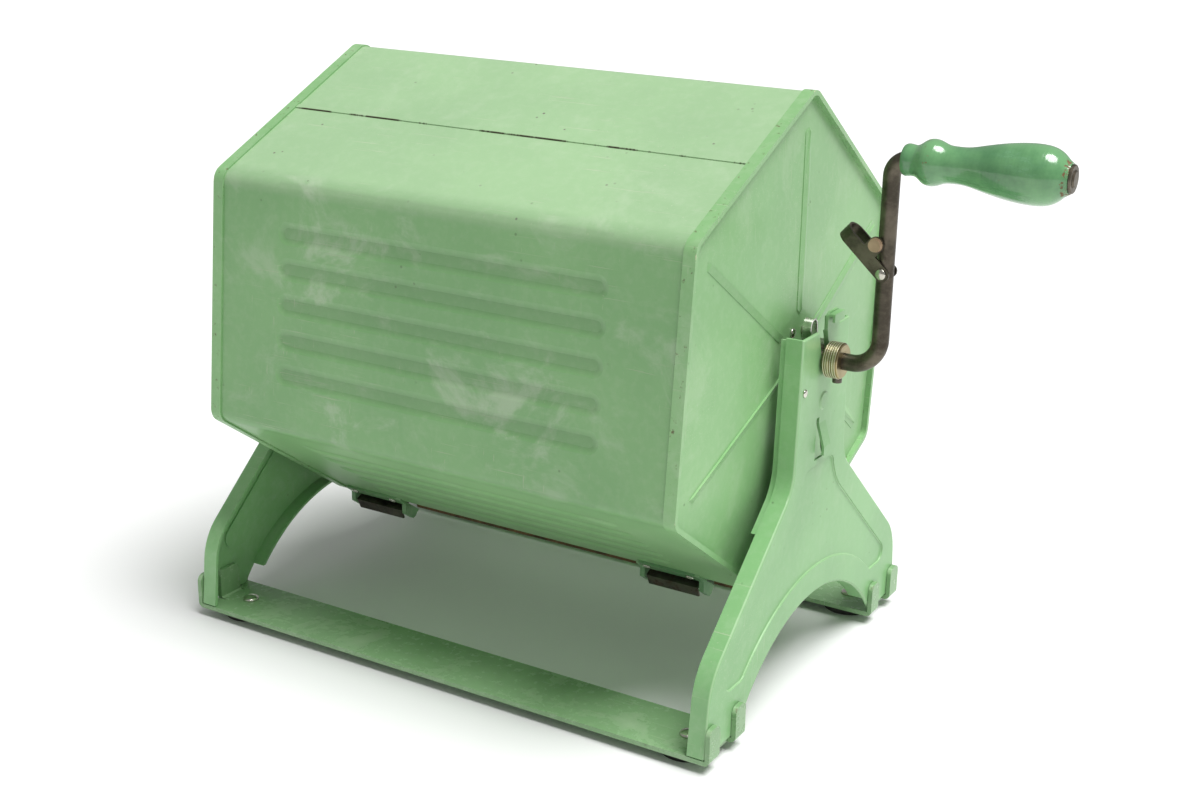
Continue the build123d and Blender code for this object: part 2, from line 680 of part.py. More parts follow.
with BuildPart() as grip:
    with BuildSketch(xz_plane(0)):
        with BuildLine():
            crest = Spline(*[(GRIP_START + a, ARM_REACH + r) for a, r in GRIP_PROFILE])
            Polyline(
                crest @ 0,
                (GRIP_START, ARM_REACH + GRIP_MOUTH),
                (GRIP_START + 5, ARM_REACH + GRIP_MOUTH),
                (GRIP_START + 7, ARM_REACH + SHAFT_R + RUN),
                (GRIP_END, ARM_REACH + SHAFT_R + RUN),
                crest @ 1,
            )
        make_face()
    revolve(axis=Axis((MID_X, 0, SHAFT_Z + ARM_REACH), (1, 0, 0)))
save(grip, "grip")

with BuildPart() as grip_washer:
    with BuildSketch(yz_plane(GRIP_END + 0.3)):
        with Locations((0, ARM_REACH)):
            Circle(9.4)
            Circle(SHAFT_R, mode=Mode.SUBTRACT)
    extrude(amount=1.6)
    chamfer(grip_washer.edges().group_by(Axis.X)[-1].sort_by(SortBy.LENGTH)[-1], length=0.5)
save(grip_washer, "grip_washer")

# ---- crank latch ----
LATCH_LIFT = 42.0          # the latch's rest angle above level, towards the drum
LATCH_REACH = 33.0
LATCH_GAP = 12.6
LATCH_SHEET = 1.6
LATCH_WIDTH = 10.0
BUTTON_SPOT = (16.9, -11.2)
latch_way = (-cos(radians(LATCH_LIFT)), 0, sin(radians(LATCH_LIFT)))
latch_up = (sin(radians(LATCH_LIFT)), 0, cos(radians(LATCH_LIFT)))
latch_leg = (LATCH_GAP + LATCH_SHEET) / 2
latch_origin = (MID_X + ARM_X, 0, SHAFT_Z + PIVOT_Z)
latch_flat = Plane(origin=latch_origin, x_dir=latch_way, z_dir=latch_up)


def latch_side(y):
    """A plane on the side of the latch facing the front; local x runs to its bent end."""
    spot = (latch_origin[0], y, latch_origin[2])
    return Plane(origin=spot, x_dir=latch_way, z_dir=(0, 1, 0))


with BuildPart() as crank_latch:
    with BuildSketch(latch_flat):
        with BuildLine() as hairpin:
            first = Line((-5.5, latch_leg), (LATCH_REACH, latch_leg))
            bend = ThreePointArc(first @ 1, (LATCH_REACH + latch_leg, 0), (LATCH_REACH, -latch_leg))
            Line(bend @ 1, (-5.5, -latch_leg))
        trace(hairpin.line, line_width=LATCH_SHEET)
    extrude(amount=LATCH_WIDTH / 2, both=True)
    with BuildSketch(latch_side(-latch_leg - LATCH_SHEET / 2)):
        with Locations((BUTTON_SPOT[0], -BUTTON_SPOT[1])):
            Circle(5.6)
        with Locations((BUTTON_SPOT[0], -BUTTON_SPOT[1] / 2)):
            Rectangle(11.2, -BUTTON_SPOT[1])
    extrude(amount=LATCH_SHEET)
    with BuildSketch(latch_side(0)):
        Circle(PIVOT_R + RUN)
        with Locations((BUTTON_SPOT[0], -BUTTON_SPOT[1])):
            Circle(1.6)
    extrude(amount=20, both=True, mode=Mode.SUBTRACT)
    ends = crank_latch.edges().filter_by(Axis.Y)
    ends = [e for e in ends if Vector(e.center() - Vector(*latch_origin)).dot(Vector(*latch_way)) < -5]
    fillet(ends, radius=4.5)
save(crank_latch, "crank_latch")

with BuildPart() as latch_button:
    with BuildSketch(latch_side(-latch_leg - LATCH_SHEET / 2)):
        with Locations((BUTTON_SPOT[0], -BUTTON_SPOT[1])):
            Circle(5.0)
    extrude(amount=-3.0, taper=12)
    with BuildSketch(latch_side(-latch_leg - LATCH_SHEET / 2)):
        with Locations((BUTTON_SPOT[0], -BUTTON_SPOT[1])):
            Circle(1.6)
    extrude(amount=LATCH_SHEET)
save(latch_button, "latch_button")

with BuildPart() as latch_pivot:
    with BuildSketch(latch_side(0)):
        Circle(PIVOT_R)
    extrude(amount=latch_leg + LATCH_SHEET / 2 + 0.2, both=True)
    for way in (1, -1):
        with BuildSketch(latch_side(way * (latch_leg + LATCH_SHEET / 2 + 0.2))):
            Circle(3.8)
        extrude(amount=way * 1.6, taper=40)
save(latch_pivot, "latch_pivot_rivet")

# ---- loops on the drum, lid and its lugs ----
EDGE = CORNER / 2          # panel centre line to the sharp corner
EAR_THICK = 4.0            # the loops' ears, either side of a lug
EAR_SHAPE = ((-8.0, 0.0), (-8.0, 2.0), (-3.0, 2.2), (2.0, 9.0), (14.0, 9.0), (16.0, 6.0), (16.0, 0.0))
LOOPS = ((-159.5, 57.0), (119.5, 55.0))
LOOP_SHEET = 2.0
LOOP_TOP = -EDGE + 15.0
LOOP_LOW = -EDGE - 20.0
WINDOW = (-EDGE - 0.5, -EDGE - 16.0)
LOOP_RIVET_Y = LOOP_TOP - 5.0
LID_SHEET = 1.2
LID_HALF = 176.0
LID_BACK = -70.0
LID_FRONT = 86.5
GASKET = 3.0
GASKET_GAP = 0.1
LUG_SHEET = 2.0
LUG_FRONT = EDGE + 6.0
LUG_LIP = 9.5              # the lug's bent-down front
STRIP_RUNS = ((-128.5, 89.5), (149.5, 174.0))
STRIP_DEPTH = 5.3
LUG_BACK = 44.0
LUG_SIDE = 5.5             # loop leg plus play, each side of a lug
CATCH_X = (-105.0, 105.0)
CATCH_Y = -79.0
lid_top = GASKET + LID_SHEET


def lower_corner(past, out):
    """A point across the shaft, counted past the lid's front corner along the loops' panel and out from it."""
    corner = radians(DRUM_TURN - 90)
    turn = radians(DRUM_TURN + 240)
    y = CORNER * cos(corner) - past * sin(turn) + out * cos(turn)
    z = CORNER * sin(corner) + past * cos(turn) + out * sin(turn)
    return (y, z)


with BuildPart() as lid_loops:
    for middle, width in LOOPS:
        with BuildSketch(face_plane(2)):
            with Locations((middle, (LOOP_TOP + LOOP_LOW) / 2)):
                plate = Rectangle(width, LOOP_TOP - LOOP_LOW)
            fillet(plate.vertices(), radius=4.5)
            with Locations((middle, (WINDOW[0] + WINDOW[1]) / 2)):
                RectangleRounded(width - 9, WINDOW[0] - WINDOW[1], 2.5, mode=Mode.SUBTRACT)
            with Locations((middle - width / 2 + 9, LOOP_RIVET_Y), (middle + width / 2 - 9, LOOP_RIVET_Y)):
                Circle(1.8, mode=Mode.SUBTRACT)
        extrude(amount=LOOP_SHEET)
        for start in (middle - width / 2, middle + width / 2 - EAR_THICK):
            with BuildSketch(yz_plane(start)):
                with BuildLine():
                    Polyline(*[lower_corner(past, out) for past, out in EAR_SHAPE], close=True)
                make_face()
            extrude(amount=EAR_THICK)
save(lid_loops, "lid_loops")

with BuildPart() as loop_rivets:
    for middle, width in LOOPS:
        spots = [(middle - width / 2 + 9, LOOP_RIVET_Y), (middle + width / 2 - 9, LOOP_RIVET_Y)]
        with BuildSketch(face_plane(2)):
            with Locations(*spots):
                Circle(1.8)
        extrude(amount=LOOP_SHEET)
        with BuildSketch(face_plane(2, LOOP_SHEET)):
            with Locations(*spots):
                Circle(3.2)
        extrude(amount=1.3, taper=40)
save(loop_rivets, "loop_rivets")

with BuildPart() as lid:
    with BuildSketch(face_plane(LID_FACE, GASKET)):
        with Locations((0, (LID_BACK + LID_FRONT) / 2)):
            RectangleRounded(2 * LID_HALF, LID_FRONT - LID_BACK, 6)
    extrude(amount=LID_SHEET)
    with BuildSketch(face_plane(LID_FACE, GASKET)):
        with Locations((0, (LID_BACK + LID_FRONT) / 2)):
            RectangleRounded(2 * LID_HALF, LID_FRONT - LID_BACK, 6)
            RectangleRounded(2 * LID_HALF - 2.4, LID_FRONT - LID_BACK - 2.4, 4.8, mode=Mode.SUBTRACT)
    extrude(amount=-(GASKET - 1.0))
    with BuildSketch(face_plane(LID_FACE, lid_top)):
        with Locations((0, -4)):
            RectangleRounded(2 * LID_HALF - 70, 92, 14)
    extrude(amount=-2.0, taper=35, mode=Mode.SUBTRACT)
    with BuildSketch(face_plane(LID_FACE, GASKET)):
        with Locations((0, -4)):
            RectangleRounded(2 * LID_HALF - 67, 95, 15)
    extrude(amount=-2.0, taper=35)
    with BuildSketch(face_plane(LID_FACE, lid_top)):
        with Locations((0, -4)):
            RectangleRounded(2 * LID_HALF - 70, 92, 14)
    extrude(amount=-2.0, taper=35, mode=Mode.SUBTRACT)
save(lid, "lid")

with BuildPart() as lid_gasket:
    with BuildSketch(face_plane(LID_FACE, GASKET_GAP)):
        with Locations((0, 0)):
            RectangleRounded(MOUTH[0] + 16, MOUTH[1] + 13, 22)
            RectangleRounded(MOUTH[0] + 1, MOUTH[1] + 1, 17, mode=Mode.SUBTRACT)
    extrude(amount=GASKET - GASKET_GAP)
save(lid_gasket, "lid_gasket")

with BuildPart() as lid_lugs:
    for middle, width in LOOPS:
        with BuildSketch(face_plane(LID_FACE, lid_top)):
            with Locations((middle, (LUG_BACK + LUG_FRONT) / 2)):
                strap = Rectangle(width - 2 * LUG_SIDE, LUG_FRONT - LUG_BACK)
        extrude(amount=LUG_SHEET)
        with BuildSketch(face_plane(LID_FACE, lid_top)):
            with Locations((middle, LUG_FRONT - LUG_SHEET / 2)):
                Rectangle(width - 2 * LUG_SIDE, LUG_SHEET)
        extrude(amount=LUG_LIP)
    lip_out = Vector(*face_plane(LID_FACE).z_dir)
    lip_edges = lid_lugs.edges().filter_by(lambda e: abs(abs(e.tangent_at(0).dot(lip_out)) - 1) < 0.01)
    lip_edges = [e for e in lip_edges if e.length > LUG_SHEET + 1]
    fillet(lip_edges, radius=0.8)
save(lid_lugs, "lid_lugs")

with BuildPart() as lid_strip:
    for start, end in STRIP_RUNS:
        with BuildSketch(face_plane(LID_FACE, lid_top)):
            with Locations(((start + end) / 2, LID_FRONT - 1.5)):
                Rectangle(end - start, 3.0)
        extrude(amount=STRIP_DEPTH)
    fillet(lid_strip.edges().filter_by(Axis.X), radius=1.1)
save(lid_strip, "lid_edge_strip")

with BuildPart() as lug_rivets:
    for middle, width in LOOPS:
        spots = [(middle - 12, 60), (middle + 12, 60)]
        with BuildSketch(face_plane(LID_FACE, lid_top + LUG_SHEET)):
            with Locations(*spots):
                Circle(3.4)
        extrude(amount=1.4, taper=40)
save(lug_rivets, "lug_rivets")

for spot, name in ((CATCH_X[0], "far_side"), (CATCH_X[1], "crank_side")):
    with BuildPart() as catch:
        with BuildSketch(face_plane(LID_FACE, lid_top + 0.5)):
            with Locations((spot, CATCH_Y)):
                SlotOverall(36, 12)
        extrude(amount=2.0)
        with BuildSketch(face_plane(LID_FACE, 0.3)):
            with Locations((spot, CATCH_Y)):
                Circle(4.2)
        extrude(amount=lid_top + 0.5 - 0.3)
        with BuildSketch(face_plane(LID_FACE, lid_top + 4)):
            with Locations((spot, CATCH_Y)):
                Circle(PIVOT_R + RUN)
        extrude(amount=-12, mode=Mode.SUBTRACT)
    save(catch, name + "_lid_catch")

with BuildPart() as catch_pins:
    for spot in CATCH_X:
        with BuildSketch(face_plane(LID_FACE)):
            with Locations((spot, CATCH_Y)):
                Circle(PIVOT_R)
        extrude(amount=lid_top + 2.8)
        with BuildSketch(face_plane(LID_FACE, lid_top + 2.8)):
            with Locations((spot, CATCH_Y)):
                Circle(3.8)
        extrude(amount=1.5, taper=40)
save(catch_pins, "catch_pins")
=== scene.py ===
"""Looks, light and camera for a hand-cranked six-sided drum washer on a pressed-steel stand."""

import json
from math import cos, pi, radians, sin

import bpy
from mathutils import Matrix, Vector


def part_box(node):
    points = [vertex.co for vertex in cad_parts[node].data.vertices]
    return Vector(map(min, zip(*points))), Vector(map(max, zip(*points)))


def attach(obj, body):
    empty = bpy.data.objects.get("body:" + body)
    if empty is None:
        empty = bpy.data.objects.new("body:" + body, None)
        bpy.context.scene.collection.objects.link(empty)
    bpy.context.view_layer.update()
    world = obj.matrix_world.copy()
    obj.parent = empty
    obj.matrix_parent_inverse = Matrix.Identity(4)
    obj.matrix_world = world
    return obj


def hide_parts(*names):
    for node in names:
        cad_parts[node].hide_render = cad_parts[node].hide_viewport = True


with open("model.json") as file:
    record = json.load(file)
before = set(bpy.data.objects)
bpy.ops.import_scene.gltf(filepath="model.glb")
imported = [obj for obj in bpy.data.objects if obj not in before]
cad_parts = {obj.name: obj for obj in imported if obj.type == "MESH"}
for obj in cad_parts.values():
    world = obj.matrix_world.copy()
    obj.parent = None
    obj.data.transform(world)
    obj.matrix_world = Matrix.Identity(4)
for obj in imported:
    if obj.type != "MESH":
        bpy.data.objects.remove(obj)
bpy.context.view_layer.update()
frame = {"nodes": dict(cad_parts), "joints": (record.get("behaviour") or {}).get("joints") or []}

bl_info = {
    "name": "Drum Washer Finishes",
    "version": (1, 0, 0),
    "blender": (4, 5, 0),
    "location": "3D View > Sidebar > Washer",
    "description": "Paint, worn steel, rivets, studio and camera for a hand-cranked drum washer",
    "category": "Object",
}

JOINTS = {j["name"]: j for j in frame["joints"]}
SHAFT = Vector(JOINTS["drum_turn"]["pos_m"])
ARM = Vector(JOINTS["latch_swing"]["pos_m"])
DRUM_TURN = radians(-5.4)
APOTHEM = 0.15935          # drum centre to a panel
DRUM_HALF = 0.200          # drum's middle to the lip of its rim
RIM_FOLD = 0.0095          # width of the folded rim, where dirt gathers beside it
HUB_FACE = 0.202           # drum's middle to the hub's flat
HUB_RING = 0.018           # radius of the hub's ring of rivets
HUB_RUB = 0.043            # radius of the ring rubbed round the hub
FOOT_X, FOOT_Y = 0.199, 0.137
FRAME_RIVETS = (-0.033, 0.031)
FRAME_RIVET_Z = -0.017
LID_TOP = 0.0042           # the lid's outer face, out from its panel
LUG_SHEET = 0.002
LUG_RIVETS = (-0.1715, -0.1475, 0.1075, 0.1315)
LOOP_RIVETS = (-0.179, -0.140, 0.101, 0.138)
CATCHES = (-0.105, 0.105)
LATCH_HALF = 0.0081        # half the latch's width over its legs, with play
CORNER_NEAR, CORNER_FAR = 0.002, 0.013   # how worn a corner is, by its two panels' difference
FRAME_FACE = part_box("crank_side_collar")[0].x - SHAFT.x - 0.0015
COLLAR_R = 0.01285
KEY_FROM = (0.34, 0.03, 0.94)
SEAM_HALF = 0.00225         # half the width of the lap seam


def panel_frame(number):
    """Normal and upward direction of one drum panel, counted from the seamed one."""
    turn = DRUM_TURN + 2 * pi / 3 + number * pi / 3
    return Vector((0, cos(turn), sin(turn))), Vector((0, sin(turn), -cos(turn)))


def on_panel(number, x, along, out=0.0):
    """A point on a drum panel; x is from the drum's middle."""
    normal, up = panel_frame(number)
    return SHAFT + Vector((x, 0, 0)) + normal * (APOTHEM + out) + up * along


# ---- a small kit for node trees ----
class Value:
    """A socket that can be used in arithmetic; each operation adds one Math node."""

    def __init__(self, kit, socket):
        self.kit = kit
        self.socket = socket

    def math(self, operation, *others, clamp=False):
        values = dict(enumerate((self,) + others))
        return self.kit.node("ShaderNodeMath", {"operation": operation, "use_clamp": clamp}, values)

    def reflected(self, operation, other):
        return self.kit.node("ShaderNodeMath", {"operation": operation}, {0: other, 1: self})

    def __add__(self, other):
        return self.math("ADD", other)

    def __radd__(self, other):
        return self.reflected("ADD", other)

    def __sub__(self, other):
        return self.math("SUBTRACT", other)

    def __rsub__(self, other):
        return self.reflected("SUBTRACT", other)

    def __mul__(self, other):
        return self.math("MULTIPLY", other)

    def __rmul__(self, other):
        return self.reflected("MULTIPLY", other)

    def __truediv__(self, other):
        return self.math("DIVIDE", other)

    def __rtruediv__(self, other):
        return self.reflected("DIVIDE", other)

    def __pow__(self, other):
        return self.math("POWER", other)

    def __neg__(self):
        return self.math("MULTIPLY", -1.0)

    def __abs__(self):
        return self.math("ABSOLUTE")

    def most(self, other):
        return self.math("MAXIMUM", other)

    def least(self, other):
        return self.math("MINIMUM", other)

    def clamped(self):
        return self.math("ADD", 0.0, clamp=True)

    def ramp(self, low, high, bottom=0.0, top=1.0):
        """A smooth step from bottom to top as the value goes from low to high."""
        values = {"Value": self, "From Min": low, "From Max": high, "To Min": bottom, "To Max": top}
        return self.kit.node("ShaderNodeMapRange", {"interpolation_type": "SMOOTHSTEP"}, values)


class Kit:
    """Adds nodes to one tree."""

    def __init__(self, tree):
        self.tree = tree
        self.tree.nodes.clear()

    def node(self, kind, settings=None, values=None, output=0):
        """A node of any type: its settings first, then the values or links of its sockets."""
        made = self.tree.nodes.new(kind)
        for key, setting in (settings or {}).items():
            if key == "stops":
                stops = made.color_ramp.elements
                while len(stops) < len(setting):
                    stops.new(0.5)
                for stop, (place, colour) in zip(stops, setting):
                    stop.position = place
                    stop.color = colour
            else:
                setattr(made, key, setting)
        for key, value in (values or {}).items():
            if isinstance(value, Value):
                self.tree.links.new(value.socket, made.inputs[key])
            else:
                made.inputs[key].default_value = value
        return Value(self, made.outputs[output]) if made.outputs else None

    def place(self):
        """The point on the surface, in the machine's own frame."""
        return self.node("ShaderNodeTexCoord", output="Object")

    def facing(self):
        return self.node("ShaderNodeTexCoord", output="Normal")

    def split(self, vector):
        made = self.node("ShaderNodeSeparateXYZ", values={0: vector})
        return [Value(self, out) for out in made.socket.node.outputs]

    def mapped(self, vector, scale=(1, 1, 1), turn=(0, 0, 0), shift=(0, 0, 0)):
        values = {"Vector": vector, "Scale": scale, "Rotation": turn, "Location": shift}
        return self.node("ShaderNodeMapping", values=values)

    def noise(self, vector, scale, detail=3.0, roughness=0.55, warp=0.0):
        values = {"Vector": vector, "Scale": scale, "Detail": detail}
        values.update({"Roughness": roughness, "Distortion": warp})
        return self.node("ShaderNodeTexNoise", values=values)

    def cells(self, vector, scale):
        values = {"Vector": vector, "Scale": scale}
        return self.node("ShaderNodeTexVoronoi", {"feature": "F1"}, values, "Distance")

    def mix(self, mask, first, second, blend="MIX"):
        values = {0: mask, 6: first, 7: second}
        return self.node("ShaderNodeMix", {"data_type": "RGBA", "blend_type": blend}, values, 2)

    def bump(self, height, depth, strength=1.0):
        return self.node("ShaderNodeBump", values={"Height": height, "Distance": depth, "Strength": strength})

    def surface(self, **values):
        values = {key.replace("_", " "): value for key, value in values.items()}
        shader = self.node("ShaderNodeBsdfPrincipled", values=values)
        self.node("ShaderNodeOutputMaterial", values={"Surface": shader})


def tone(code, alpha=1.0):
    """A colour from its six hexadecimal digits, made linear."""
    parts = [int(code[i : i + 2], 16) / 255 for i in (0, 2, 4)]
    return tuple(p / 12.92 if p <= 0.04045 else ((p + 0.055) / 1.055) ** 2.4 for p in parts) + (alpha,)


def new_material(name):
    material = bpy.data.materials.new(name)
    material.use_nodes = True
    return material, Kit(material.node_tree)


# pale chalk for stains and speckle; also the tint of the painted sheen on the drum's top panel
CHALK_AND_SHEEN = tone("DDE3D2")
CREAM = tone("D9D6B4")
PRIMER = tone("B9C6A6")
RUST = tone("6B4326")
DARK_RUST = tone("3A2A1C")
GRIME = tone("2B3326")
# painted highlight: pale green laid along the bends of pressed sheet
PAINTED_HIGHLIGHT = tone("BAD6AE")
# painted shade: dark green that darkens the drum's front panel
PAINTED_SHADE = tone("4F7A4A")


# ---- enamel ----
def enamel(kit, place, paint, deep, edge, rust_edge, chalk, chips, gloss=0.34):
    """Aged green enamel; returns its colour, roughness and bump.

    edge and rust_edge are masks of worn and rusty edges; chalk and chips are amounts.
    """
    cloud = kit.noise(place, 7, 4, 0.55)
    colour = kit.mix(cloud.ramp(0.32, 0.68), paint, deep)
    fine = kit.noise(place, 160, 3, 0.6)
    colour = kit.mix((fine - 0.5).ramp(-0.08, 0.22) * 0.06, colour, CHALK_AND_SHEEN)
    patches = kit.noise(place, 17, 6, 0.64, 0.5)
    smears = kit.noise(kit.mapped(place, (14, 30, 30), shift=(3, 1, 7)), 1.0, 5, 0.65, 0.4)
    stain = (patches.ramp(0.52, 0.7) + smears.ramp(0.58, 0.76) * 0.6).clamped() * chalk
    colour = kit.mix((stain * 0.42).clamped(), colour, CHALK_AND_SHEEN)
    scratch = kit.noise(kit.mapped(place, (16, 900, 900), (0.0, 0.09, 0.05)), 1.0, 2, 0.5)
    nicks = kit.noise(kit.mapped(place, (700, 700, 22), (0.3, 0.12, 0.0), (5, 2, 1)), 1.0, 2, 0.5)
    lines = (scratch.ramp(0.66, 0.72) + nicks.ramp(0.69, 0.75)).clamped()
    lines = lines * kit.noise(place, 9, 2).ramp(0.42, 0.6)
    colour = kit.mix(lines * 0.55, colour, PRIMER)
    grit = kit.cells(kit.mapped(place, shift=(0.3, 0.1, 0.2)), 95)
    spots = (1 - grit.ramp(0.05, 0.13)) * kit.noise(place, 24, 3).ramp(0.54, 0.68) * chips
    colour = kit.mix(spots.clamped(), colour, DARK_RUST)
    ragged = kit.noise(place, 230, 4, 0.65)
    worn = (edge * 0.8 + (ragged - 0.5) * 1.6).ramp(0.7, 0.84) * edge.ramp(0.05, 0.3)
    colour = kit.mix(worn * 0.75, colour, CREAM)
    rusty = (rust_edge + (ragged - 0.5) * 1.3).ramp(0.55, 0.74)
    shades = kit.mix(kit.noise(place, 310, 3), RUST, DARK_RUST)
    colour = kit.mix(rusty * 0.9, colour, shades)
    bare = (worn + rusty + spots).clamped()
    rough = (gloss + stain * 0.22 + lines * 0.1 + bare * 0.3 + (fine - 0.5) * 0.12).clamped()
    relief = kit.noise(place, 60, 2) * 0.5 + fine * 0.12 - bare * 0.5 - lines * 0.25
    return colour, rough, kit.bump(relief, 0.00035, 0.7)


def drum_coordinates(kit, place):
    """Distance from the drum's middle along the shaft, and the three projections on the pairs of panels."""
    x, y, z = kit.split(kit.mapped(place, shift=tuple(-SHAFT)))
    across = []
    for pair in range(3):
        turn = DRUM_TURN + pair * pi / 3
        across.append(y * cos(turn) + z * sin(turn))
    return x, across


def panel_reach(across):
    """The largest and second largest of the three projections; they are equal on a corner."""
    sides = [abs(a) for a in across]
    largest = sides[0].most(sides[1]).most(sides[2])
    smallest = sides[0].least(sides[1]).least(sides[2])
    return largest, sides[0] + sides[1] + sides[2] - largest - smallest


def drum_enamel(sizes):
    """The drum sheet: stained front darkened by painted shade, a painted sheen on the top panel, dirt beside
    the rims, a broken dark line along the seam.
    """
    material, kit = new_material("drum_enamel")
    place = kit.place()
    x, across = drum_coordinates(kit, place)
    largest, middle = panel_reach(across)
    reach = abs(x)
    corner = (largest - middle).ramp(CORNER_NEAR, CORNER_FAR, 1.0, 0.0)
    skin = largest.ramp(0.1535, 0.157)
    lip = reach.ramp(0.1993, 0.2)
    groove = abs(reach - (DRUM_HALF - RIM_FOLD)).ramp(0.0004, 0.0014, 1.0, 0.0) * skin
    inside_rim = largest.ramp(0.1548, 0.1572) * reach.ramp(0.1945, 0.1962) * (1 - lip)
    top = across[2].ramp(0.150, 0.157)
    front = (-across[0]).ramp(0.145, 0.155) * reach.ramp(0.06, 0.16, 1.0, 0.35)
    seam_y = (across[0] + across[1]) / (2 * cos(pi / 6))
    seam_line = abs(seam_y + SEAM_HALF).ramp(0.0003, 0.0010, 1.0, 0.0) * top
    dash = kit.noise(kit.mapped(place, (30, 3, 3)), 1.0, 5, 0.75).ramp(0.46, 0.56)
    seam_wear = (seam_line * dash * 0.9).clamped()
    edge = (corner * skin * 0.5 + lip * 0.5).clamped()
    rust_edge = (groove * 0.42 + inside_rim * 0.46).clamped()
    chalk = (front * 1.1 + 0.22).clamped()
    chips = top * 0.8 + 0.4
    paints = (sizes.drum_paint, sizes.drum_shade)
    colour, rough, normal = enamel(kit, place, *paints, edge, rust_edge, chalk, chips)
    valley = largest.ramp(0.1578, 0.1592, 1.0, 0.0) * reach.ramp(0.1385, 0.1395, 1.0, 0.0)
    colour = kit.mix((valley * 0.14).clamped(), colour, GRIME)
    # painted sheen: the top panel is mixed towards pale chalk
    colour = kit.mix((top * 0.2).clamped(), colour, CHALK_AND_SHEEN)
    # painted shade: the whole front panel is mixed towards dark green
    painted_shade_front = (-across[0]).ramp(0.145, 0.155)
    colour = kit.mix((painted_shade_front * 0.22).clamped(), colour, PAINTED_SHADE)
    colour = kit.mix(seam_wear, colour, DARK_RUST)
    kit.surface(Base_Color=colour, Roughness=rough, Normal=normal)
    return material


def plate_enamel(sizes):
    """End plates: dirt in the rim's corner, a worn lip and worn outer corners, a rubbed ring round the hub.
    """
    material, kit = new_material("plate_enamel")
    place = kit.place()
    x, across = drum_coordinates(kit, place)
    largest, middle = panel_reach(across)
    reach = abs(x)
    lip = reach.ramp(0.1988, 0.1998) * largest.ramp(0.1545, 0.1555)
    outer = largest.ramp(0.1595, 0.1603)
    corner = (largest - middle).ramp(CORNER_NEAR, CORNER_FAR, 1.0, 0.0) * outer
    wall = largest.ramp(0.1555, 0.1568) * reach.ramp(0.1995, 0.1985)
    radius = (across[0] * across[0] + across[1] * across[1] - across[0] * across[1]) * (4 / 3)
    radius = radius ** 0.5
    rubbed = abs(radius - HUB_RUB).ramp(0.002, 0.009, 1.0, 0.0) * reach.ramp(0.19, 0.196)
    edge = (lip * 0.5 + corner * 0.45 + rubbed * 0.4).clamped()
    rust_edge = (wall * 0.42 + lip * 0.12).clamped()
    paints = (sizes.drum_paint, sizes.drum_shade)
    colour, rough, normal = enamel(kit, place, *paints, edge, rust_edge, 0.3, 0.4)
    kit.surface(Base_Color=colour, Roughness=rough, Normal=normal)
    return material


def sheet_enamel(name, paint, deep, web_axis, edge_gain, rust_gain, chalk, chips, gloss):
    """Pressed sheet with worn bends, paler along them by a painted highlight.

    A bend is where the surface faces neither along the web's axis nor across it.
    """
    material, kit = new_material(name)
    place = kit.place()
    facing = abs(kit.split(kit.facing())[web_axis])
    bend = facing.ramp(0.12, 0.4) * facing.ramp(0.82, 0.985, 1.0, 0.0)
    height = kit.split(place)[2]
    low = height.ramp(0.012, 0.05, 1.0, 0.0)
    edge = (bend * edge_gain).clamped()
    rust_edge = (bend * rust_gain * kit.noise(place, 12, 3).ramp(0.45, 0.6) + low * 0.22).clamped()
    colour, rough, normal = enamel(kit, place, paint, deep, edge, rust_edge, chalk, chips, gloss)
    # painted highlight along the bends
    colour = kit.mix(bend * 0.35, colour, PAINTED_HIGHLIGHT)
    kit.surface(Base_Color=colour, Roughness=rough, Normal=normal)
    return material


# ---- bare metal, rubber, grip ----
def steel(name, light, dark, stain, roughness, grain=(30, 400, 400), spotted=0.5, metallic=0.92):
    material, kit = new_material(name)
    place = kit.place()
    cloud = kit.noise(place, 42, 5, 0.65)
    colour = kit.mix(cloud.ramp(0.36, 0.64), light, dark)
    streak = kit.noise(kit.mapped(place, grain), 1.0, 3, 0.6)
    colour = kit.mix((streak.ramp(0.4, 0.75) * 0.35), colour, light)
    patch = kit.noise(kit.mapped(place, shift=(2, 5, 1)), 95, 4, 0.7).ramp(0.55, 0.7) * spotted
    colour = kit.mix(patch.clamped(), colour, stain)
    rough = (roughness + patch * 0.3 + (streak - 0.5) * 0.25).clamped()
    metal = (metallic - patch * 0.5).clamped()
    height = streak * 0.4 + cloud * 0.3 - patch * 0.4
    kit.surface(Base_Color=colour, Roughness=rough, Metallic=metal, Normal=kit.bump(height, 0.00015, 0.6))
    return material


def turned_steel(name, light, dark):
    """Collar steel with the lathe's fine rings."""
    material, kit = new_material(name)
    place = kit.place()
    x = kit.split(place)[0]
    ring = (x * 5200).math("SINE")
    uneven = kit.noise(kit.mapped(place, (700, 40, 40)), 1.0, 3)
    colour = kit.mix((ring * 0.25 + uneven).ramp(0.2, 0.9), dark, light)
    spots = kit.noise(place, 260, 4, 0.7).ramp(0.6, 0.72)
    colour = kit.mix(spots * 0.7, colour, RUST)
    rough = (0.26 + spots * 0.35 + uneven * 0.12).clamped()
    metal = (1 - spots * 0.6).clamped()
    normal = kit.bump(ring * 0.5 + uneven, 0.0001, 0.5)
    kit.surface(Base_Color=colour, Roughness=rough, Metallic=metal, Normal=normal)
    return material


def soft_material(name, light, dark, roughness, grit_scale, depth):
    material, kit = new_material(name)
    place = kit.place()
    cloud = kit.noise(place, 30, 4, 0.6)
    grit = kit.noise(place, grit_scale, 4, 0.7)
    colour = kit.mix(cloud.ramp(0.35, 0.65), dark, light)
    colour = kit.mix(grit.ramp(0.6, 0.8) * 0.4, colour, tone("8A8577"))
    rough = (roughness + (grit - 0.5) * 0.2).clamped()
    kit.surface(Base_Color=colour, Roughness=rough, Normal=kit.bump(grit, depth, 0.8))
    return material


